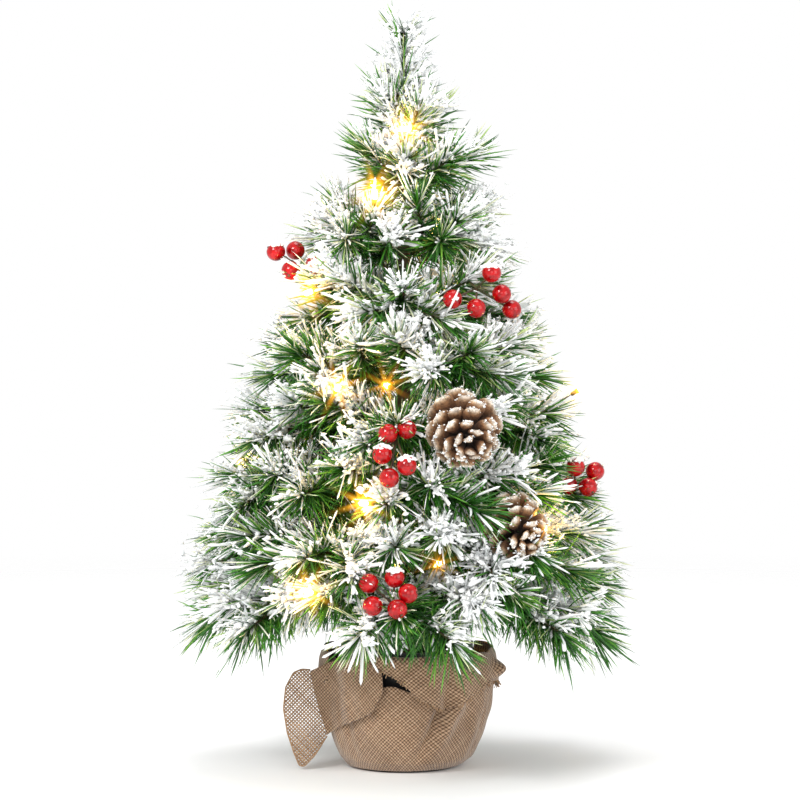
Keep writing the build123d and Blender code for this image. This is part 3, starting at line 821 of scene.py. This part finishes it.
def bag_body(azimuth, height):
    """The bag's shape without its folds."""
    knots = np.array([0.0, 0.012, 0.026, 0.045, 0.068, 0.098])
    right = eased(height, knots, [0.0475, 0.0560, 0.0615, 0.0655, 0.0680, 0.0640])
    left = eased(height, knots, [0.0445, 0.0515, 0.0565, 0.0590, 0.0600, 0.0590])
    share = 0.5 + 0.5 * np.cos(np.radians(azimuth))
    return left + (right - left) * share


def bag_radius(azimuth, height):
    """How far the bag's cloth stands from the trunk's axis, for azimuths in degrees and heights in metres."""
    radius = bag_body(azimuth, height)
    fullness = np.clip(height / 0.045, 0, 1) ** 1.2
    for middle, lean, depth, width in FOLDS:
        away = wrapped(azimuth - middle - lean * (height - 0.04) * 100)
        radius = radius + depth * fullness * bell(away, width)
    ripple = 0.0007 * np.sin(np.radians(azimuth) * 23 + height * 160) * np.sin(np.radians(azimuth) * 7 - height * 90)
    return radius + ripple * fullness


def cloth_uv(across_way, up_way):
    """Weave coordinates, with the yarns at 45 degrees to the ways."""
    return np.stack([across_way + up_way, across_way - up_way], -1) / math.sqrt(2)


def grid_faces(rows, columns):
    """Quads of a grid of points, row by row."""
    first = (np.arange(rows - 1)[:, None] * columns + np.arange(columns - 1)[None])
    return np.stack([first, first + 1, first + 1 + columns, first + columns], -1).reshape(-1, 4)


def round_points(azimuth, radius, height):
    turn = np.radians(azimuth)
    return stacked(radius * np.cos(turn), radius * np.sin(turn), height)


# Upper edge of the bag: azimuth in degrees and height. It dips where the slit shows between bag and flap.
BAG_EDGE = [(-180, 0.090), (-152, 0.088), (-134, 0.082), (-112, 0.0665), (-99, 0.0708), (-84, 0.0650), (-62, 0.062),
            (-40, 0.088), (180, 0.090)]


def bag_grid():
    """The bag: from the middle of the foot out under the pot, round its edge and up the side to the upper edge."""
    columns = 271
    knee = 0.006
    azimuth = np.linspace(-180, 180, columns)
    edge = eased(azimuth, *zip(*BAG_EDGE), width=0.012)
    floor_radius = FOOT_RADIUS * np.linspace(0, 1, 11)[:, None] * np.ones(columns)
    floor = round_points(azimuth[None], floor_radius, np.full_like(floor_radius, FOOT_HEIGHT))
    rise = np.linspace(0, 1, 61)[1:, None]
    height = FOOT_HEIGHT + (edge[None] - FOOT_HEIGHT) * rise
    round_off = np.clip((height - FOOT_HEIGHT) / knee, 0, 1) ** 0.5
    radius = FOOT_RADIUS + (bag_radius(azimuth[None], height) - FOOT_RADIUS) * round_off
    points = np.concatenate([floor, round_points(azimuth[None], radius, height)])
    up_way = np.concatenate([floor_radius - FOOT_RADIUS, height - FOOT_HEIGHT])
    uv = cloth_uv(np.radians(azimuth)[None] * BAG_ROUND * np.ones((len(up_way), 1)), up_way)
    return points, uv


# Lower edge of the cloth that is folded back: azimuth in degrees and height.
COLLAR_EDGE = [(-117, 0.0905), (-103, 0.0810), (-96, 0.0770), (-90, 0.0725), (-81, 0.0610), (-71, 0.0550),
               (-63, 0.0515), (-55, 0.0545), (-47, 0.0600), (-27, 0.0705), (-8, 0.0690), (14, 0.060), (45, 0.066),
               (92, 0.050), (140, 0.066), (180, 0.056), (208, 0.070)]


def collar_edges(azimuth):
    """The lower and upper edges of the cloth that is folded back over the bag."""
    low = eased(azimuth, *zip(*COLLAR_EDGE), width=0.006)
    high = 0.0935 + 0.0012 * np.sin(np.radians(azimuth) * 5)
    return low, np.maximum(high, low + 0.001)


# Folds of the cloth that is folded back, as of the bag, but measured at its lower edge and fading upwards.
COLLAR_FOLDS = [(-62, -0.0050, 4.5), (-52, 0.0030, 5.0), (-38, -0.0012, 6.0), (-27, 0.0022, 6.0), (-4, -0.0020, 7.0),
                (22, 0.0040, 10.0), (48, -0.0020, 8.0), (75, 0.0040, 11.0), (104, -0.0020, 9.0), (132, 0.0038, 11.0),
                (160, -0.0020, 8.0), (186, 0.0030, 10.0)]


def collar_point(azimuth, share):
    """A point of the folded-back cloth, share of the way from its lower edge to its upper."""
    low, high = collar_edges(azimuth)
    height = low + (high - low) * share
    loose = bag_body(azimuth, height) + 0.0062 + 0.0010 * np.sin(np.radians(azimuth) * 9 + 1)
    for middle, depth, width in COLLAR_FOLDS:
        loose = loose + depth * (1 - 0.6 * share) * bell(wrapped(azimuth - middle), width)
    loose = loose + 0.0009 * bell(share, 0.05) - 0.0030 * np.clip((share - 0.75) / 0.25, 0, 1) ** 2
    corner = 0.0105 * bell(azimuth + 15, 6.5) * bell(height - 0.079, 0.0065)
    radius = np.maximum(loose, bag_radius(azimuth, height) + 0.0020) + corner
    return round_points(azimuth, radius, height), height


def collar_grid():
    share, azimuth = np.meshgrid(np.linspace(0, 1, 26), np.linspace(*COLLAR_SPAN, 301), indexing="ij")
    points, height = collar_point(azimuth, share)
    return points, cloth_uv(np.radians(azimuth) * BAG_ROUND + 0.0007, height)


def flap_depth(x, height):
    """How far forward the left flap's cloth lies: on the bag, then straight out past the bag's side."""
    azimuth = -180 + np.degrees(np.arccos(np.clip(-x / 0.064, 0, 0.86)))
    bag = bag_radius(azimuth, height) + 0.0046
    on_bag = -np.sqrt(np.clip(bag**2 - x**2, 0.027**2, None))
    beyond = np.clip((-x - 0.050) / 0.044, 0, 1)
    free = -0.030 + 0.012 * beyond + 0.004 * np.sin(x * 110 + height * 60)
    leave = np.clip((-x - 0.044) / 0.014, 0, 1)
    leave = leave * leave * (3 - 2 * leave)
    return on_bag * (1 - leave) + free * leave


# Outline of the left flap, seen from the front: x and height.
FLAP_TOP = [(-0.022, 0.0915), (-0.045, 0.0900), (-0.060, 0.0855), (-0.073, 0.0780)]
FLAP_SEAM = [(-0.073, 0.0780), (-0.0705, 0.0640), (-0.0665, 0.0480), (-0.0600, 0.0265)]
FLAP_LOW = [(-0.025, 0.0490), (-0.036, 0.0430), (-0.046, 0.0370), (-0.0600, 0.0265)]
FLAP_RIGHT = [(-0.022, 0.0915), (-0.0165, 0.0790), (-0.0160, 0.0660), (-0.025, 0.0490)]
EAR_OUTSIDE = [(-0.073, 0.0780), (-0.0800, 0.0780), (-0.0865, 0.0750), (-0.0925, 0.0640), (-0.0942, 0.0475),
               (-0.0912, 0.0290), (-0.0862, 0.0135), (-0.0818, 0.0030), (-0.0780, 0.0028), (-0.0690, 0.0125),
               (-0.0600, 0.0265)]


def along_line(points, share, width=0.05):
    """Points along an outline, at shares of its length, with its corners rounded over that share of it."""
    points = np.array(points)
    steps = norm(np.diff(points, axis=0), axis=1)
    places = np.concatenate([[0], np.cumsum(steps)]) / steps.sum()
    return np.stack([eased(share, places, points[:, axis], width=width) for axis in (0, 1)], -1)


def flap_grid():
    """The doubled cloth at the left of the front, between its four edges."""
    across_share = np.linspace(0, 1, 61)
    down_share = np.linspace(0, 1, 41)
    top, low = along_line(FLAP_TOP, across_share), along_line(FLAP_LOW, across_share)
    right, seam = along_line(FLAP_RIGHT, down_share), along_line(FLAP_SEAM, down_share)
    u, v = across_share[None, :, None], down_share[:, None, None]
    flat = top[None] * (1 - v) + low[None] * v + right[:, None] * (1 - u) + seam[:, None] * u
    corners = (1 - u) * ((1 - v) * top[0] + v * low[0]) + u * ((1 - v) * top[-1] + v * low[-1])
    flat = flat - corners
    x, height = flat[..., 0], flat[..., 1]
    roll = 0.0016 * bell(1 - v[..., 0], 0.05) + 0.0012 * bell(u[..., 0], 0.06)
    points = np.stack([x, flap_depth(x, height) - roll, height], -1)
    return points, cloth_uv(x * 1.12 + 0.0004, height)


def inside(polygon, x, y):
    """Which points lie inside a polygon."""
    found = np.zeros(len(x), dtype=bool)
    for (x1, y1), (x2, y2) in zip(polygon, polygon[1:] + polygon[:1]):
        crosses = (y1 > y) != (y2 > y)
        with np.errstate(divide="ignore", invalid="ignore"):
            found ^= crosses & (x < (x2 - x1) * (y - y1) / (y2 - y1) + x1)
    return found


def yarn(line, radius, row):
    """A yarn along a line of points, as points, triangles and uv."""
    corners = 5
    ahead = unit(np.gradient(line, axis=0))
    side = unit(np.cross(ahead, np.array([0.21, -0.97, 0.11])))
    lift = np.cross(ahead, side)
    return swept(line, side[:, None], lift[:, None], np.full((len(line), corners), radius),
                 np.linspace(0.1, 0.9, len(line)), row)


def ear_yarns(rng):
    """The single layer of cloth that hangs free at the left, yarn by yarn."""
    outline = [tuple(p) for p in along_line(EAR_OUTSIDE, np.linspace(0, 1, 90), width=0.012)]
    outline += [tuple(p) for p in along_line(FLAP_SEAM, np.linspace(1, 0, 20))]
    middle = np.array([-0.078, 0.042])
    weave_depth = 0.00030
    counts = np.arange(-80, 81)
    yarns = []
    for over in (1, -1):
        along = np.array([1, over]) / math.sqrt(2)
        beside = np.array([-along[1], along[0]])
        for number in range(-90, 91):
            base = middle + beside * number * YARN_PITCH + beside * rng.normal(0, 0.00008)
            flat = base + along * (counts * YARN_PITCH / 2)[:, None]
            keep = np.flatnonzero(inside(outline, flat[:, 0], flat[:, 1]))
            if len(keep) < 4:
                continue
            weave = weave_depth * np.where((counts[keep] // 2 + number) % 2 == 0, 1, -1) * over
            x, height = flat[keep].T
            line = stacked(x, flap_depth(x, height) + weave, height)
            yarns.append(yarn(line, YARN_RADIUS * rng.uniform(1.05, 1.6), rng.uniform(0.1, 0.9)))
    x, height = along_line(EAR_OUTSIDE, np.linspace(0, 1, 120), width=0.012).T
    yarns.append(yarn(stacked(x, flap_depth(x, height), height), YARN_RADIUS * 1.5, 0.5))
    return yarns


def frayed_ends(rng):
    """Loose yarn ends along the edges of the folded-back cloth."""
    ends = []
    for _ in range(260):
        azimuth = rng.uniform(-116, -64) if rng.uniform() < 0.5 else rng.uniform(-64, 206)
        start, _ = collar_point(np.array([azimuth]), np.array([0.02]))
        beyond, _ = collar_point(np.array([azimuth + rng.normal(0, 1.5)]), np.array([0.16]))
        lean = unit(start[0] - beyond[0]) + 0.25 * rng.normal(size=3)
        out = unit(start[0] * np.array([1, 1, 0]))
        length = rng.uniform(0.001, 0.0035) * (0.45 if -106 < azimuth < -78 else 1.0)
        share = np.linspace(0, 1, 6)[:, None]
        line = start[0] + unit(lean) * length * share + 0.0008 * (out * share + share**2 * rng.normal(size=3))
        ends.append(yarn(line, YARN_RADIUS * rng.uniform(0.6, 1.0), rng.uniform(0.2, 1.0)))
    return ends


def build_burlap():
    rng = np.random.default_rng(7)
    grids = [as_shape(points, grid_faces(*points.shape[:2]), uv)
             for points, uv in (bag_grid(), collar_grid(), flap_grid())]
    cloth = mesh_piece("burlap_cloth", *join_arrays(grids), WEAVE)
    solid = cloth.modifiers.new("thickness", "SOLIDIFY")
    solid.thickness = CLOTH_THICKNESS
    solid.offset = 1.0
    ear = mesh_piece("burlap_ear", *join_arrays(ear_yarns(rng)), YARN)
    fray = mesh_piece("burlap_fray", *join_arrays(frayed_ends(rng)), YARN)
    for piece in (cloth, ear, fray):
        place(piece, "burlap_wrap")
    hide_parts("burlap_wrap")


# ---------------- base and hidden pieces
def finish_base():
    """Materials for the CAD nodes that stay."""
    black = [(0.3, (0.012, 0.012, 0.013)), (0.7, (0.028, 0.028, 0.030))]
    green = [(0.3, (0.010, 0.045, 0.018)), (0.7, (0.020, 0.070, 0.030))]
    box = solid_material("moulded_green", green, 0.45, 700.0, strength=0.25, distance=0.0002)
    finishes = {
        "base_pot": solid_material("pot_plastic", black, 0.42, 900.0, strength=0.2, distance=0.0002),
        "foot_pad": solid_material("foot_rubber", [(0.3, (0.010, 0.010, 0.010)), (0.7, (0.035, 0.034, 0.032))],
                                   0.9, 1200.0, strength=0.5),
        "base_weight": solid_material(
            "cement", [(0.3, (0.26, 0.25, 0.23)), (0.5, (0.42, 0.40, 0.37)), (0.75, (0.55, 0.53, 0.50))],
            0.92, 160.0, strength=0.6, distance=0.0012, detail=12.0),
        "trunk_pole": solid_material("trunk_paint", [(0.3, (0.045, 0.028, 0.014)), (0.7, (0.105, 0.068, 0.036))],
                                     0.6, 300.0, strength=0.4, stretch=(1, 1, 0.12)),
        "tape_wraps": solid_material("floral_tape", [(0.3, (0.020, 0.050, 0.018)), (0.7, (0.050, 0.095, 0.035))],
                                     0.55, 250.0, strength=0.5, stretch=(0.2, 0.2, 4)),
        "battery_case": box,
        "battery_lid": box,
        "power_switch": solid_material("moulded_black", black, 0.35, 700.0, strength=0.15, distance=0.0002),
        "battery_cells": cell_material(),
        "battery_contacts": solid_material("spring_steel", [(0.3, (0.50, 0.50, 0.50)), (0.7, (0.72, 0.72, 0.72))],
                                           0.25, 500.0, strength=0.05, metallic=1.0),
        "light_string": solid_material("green_wire", green, 0.3, 500.0, strength=0.1),
    }
    for node, material in finishes.items():
        for slot in frame["nodes"][node].material_slots:
            slot.material = material


# ---------------- stage, light and camera
def build_stage():
    """A pale floor."""
    points = np.array([(x, y, 0.0) for y in (-STAGE_REACH, STAGE_REACH) for x in (-STAGE_REACH, STAGE_REACH)])
    floor = mesh_piece("stage_floor", points, np.array([(0, 1, 3, 2)]), None, floor_material())


def facing(spot, target):
    """The rotation of a light or a camera at a spot that looks at a target."""
    return (Vector(target) - Vector(spot)).to_track_quat("-Z", "Y").to_euler()


def build_light():
    """Even light all round, and four soft lamps; the camera sees a white backdrop and none of the lamps."""
    world = bpy.data.worlds.new("studio")
    bpy.context.scene.world = world
    world.use_nodes = True
    tree = world.node_tree
    seen = add(tree, "ShaderNodeLightPath").outputs["Is Camera Ray"]
    feed(tree, tree.nodes["Background"], Color=(1, 1, 1, 1),
         Strength=calc(tree, "MULTIPLY_ADD", seen, BACKDROP_LEVEL - SKY_LEVEL, SKY_LEVEL))
    for name, spot, size, power in (("key", (-1.1, -1.6, 1.5), 0.7, 36), ("fill", (1.5, -1.3, 0.7), 1.2, 13),
                                    ("front", (0.1, -2.3, 0.75), 1.0, 6), ("top", (0.1, 0.2, 1.9), 0.9, 12)):
        light = new_light(name, "AREA", spot, power)
        light.data.size = size
        light.rotation_euler = facing(spot, (0, 0, 0.3))
        light.visible_camera = False


def build_glow():
    """The bloom and the small rays that a lens puts round a lit lamp."""
    scene = bpy.context.scene
    scene.use_nodes = True
    tree = scene.node_tree
    tree.nodes.clear()
    last = add(tree, "CompositorNodeRLayers").outputs["Image"]
    rays = {"Streaks": 8, "Iterations": 3, "Fade": 0.86, "Streaks_Angle": 0.3}
    for kind, strength, more in (("FOG_GLOW", 0.30, {"Size": 0.15}), ("STREAKS", 0.42, rays)):
        last = add(tree, "CompositorNodeGlare", glare_type=kind, quality="HIGH", Threshold=3.0, Strength=strength,
                   Tint=(1.0, 0.70, 0.14, 1), Image=last, **more).outputs["Image"]
    add(tree, "CompositorNodeComposite", Image=last)


def build_camera():
    """Looks along +Y, a little from above, so that the frame takes in what the view shows at the trunk's distance."""
    view_width = 0.630
    lens = 135.0
    sensor = 36.0
    elevation = math.radians(2.0)
    target = Vector((-0.003, 0, 0.2885))
    distance = view_width * lens / sensor
    data = bpy.data.cameras.new("camera")
    data.lens = lens
    data.sensor_width = sensor
    camera = new_object("camera", data)
    camera.location = target + distance * Vector((0, -math.cos(elevation), math.sin(elevation)))
    camera.rotation_euler = facing(camera.location, target)
    bpy.context.scene.camera = camera


# The needles' shades are greens up to a row of 0.74, then frosted ones up to white.
NEEDLES = strip_material(
    "pvc_needles",
    [(0.0, (0.008, 0.044, 0.008)), (0.30, (0.020, 0.128, 0.011)), (0.55, (0.056, 0.245, 0.019)),
     (0.72, (0.180, 0.400, 0.040)), (0.80, (0.42, 0.54, 0.24)), (0.90, (0.80, 0.84, 0.74)), (1.0, (0.92, 0.94, 0.90))],
    # Along each needle the colour darkens towards the root, which is painted shade deep among the wires, and brightens
    # towards the tip.
    [(0.0, (0.30, 0.28, 0.20)), (0.25, (0.75, 0.75, 0.68)), (0.80, (1.15, 1.12, 0.95)), (1.0, (1.65, 1.45, 1.4))],
    Roughness=0.36)
SNOW = strip_material(
    "flocked_snow",
    [(0.0, (0.78, 0.81, 0.82)), (0.5, (0.88, 0.89, 0.90)), (1.0, (0.95, 0.95, 0.94))],
    # Along a coated needle the flock is greyer towards the root, and on a crumb towards its underside: painted shade.
    [(0.0, (0.84, 0.87, 0.84)), (0.4, (1.0, 1.0, 1.0)), (1.0, (1.0, 1.0, 1.0))],
    Roughness=0.85, Specular_IOR_Level=0.25, Sheen_Weight=0.25)
STEMS = strip_material(
    "twisted_wire",
    [(0.0, (0.045, 0.028, 0.014)), (0.5, (0.100, 0.060, 0.028)), (1.0, (0.05, 0.07, 0.02))],
    [(0.0, (0.8, 0.8, 0.8)), (1.0, (1.1, 1.1, 1.1))], Roughness=0.5)
YARN = strip_material(
    "jute_yarn", [(0.0, (0.24, 0.135, 0.072)), (1.0, (0.46, 0.30, 0.185))],
    [(0.0, (0.92, 0.92, 0.9)), (0.5, (1.05, 1.04, 1.0)), (1.0, (0.92, 0.92, 0.9))], Roughness=0.9)
SCALES = scale_material()
BERRY = berry_material()
BULB = bulb_material()
WEAVE = weave_material()
HOLDER = solid_material("lamp_holder", [(0.3, (0.008, 0.030, 0.012)), (0.7, (0.016, 0.050, 0.020))], 0.35, 900.0,
                        strength=0.1)
LEAD = solid_material("lamp_lead", [(0.3, (0.03, 0.05, 0.02)), (0.7, (0.10, 0.07, 0.03))], 0.4, 300.0, strength=0.1)
CRUMB = ball(1)

LAMP_SPOTS = lamp_spots()
BRANCHES = nodes_called("branch_") + nodes_called("leader")
for number, node in enumerate(BRANCHES):
    dress_branch(node, 100 + number)
for node in nodes_called("lamp_") + nodes_called("trunk_lamps"):
    dress_lamps(node)
for number, node in enumerate(nodes_called("berries_")):
    dress_berries(node, number)
for number, node in enumerate(nodes_called("pine_cone_")):
    dress_cone(node, 40 + number)
build_burlap()
finish_base()
build_stage()
build_light()
build_camera()
build_glow()
bpy.context.scene.view_settings.view_transform = "Standard"
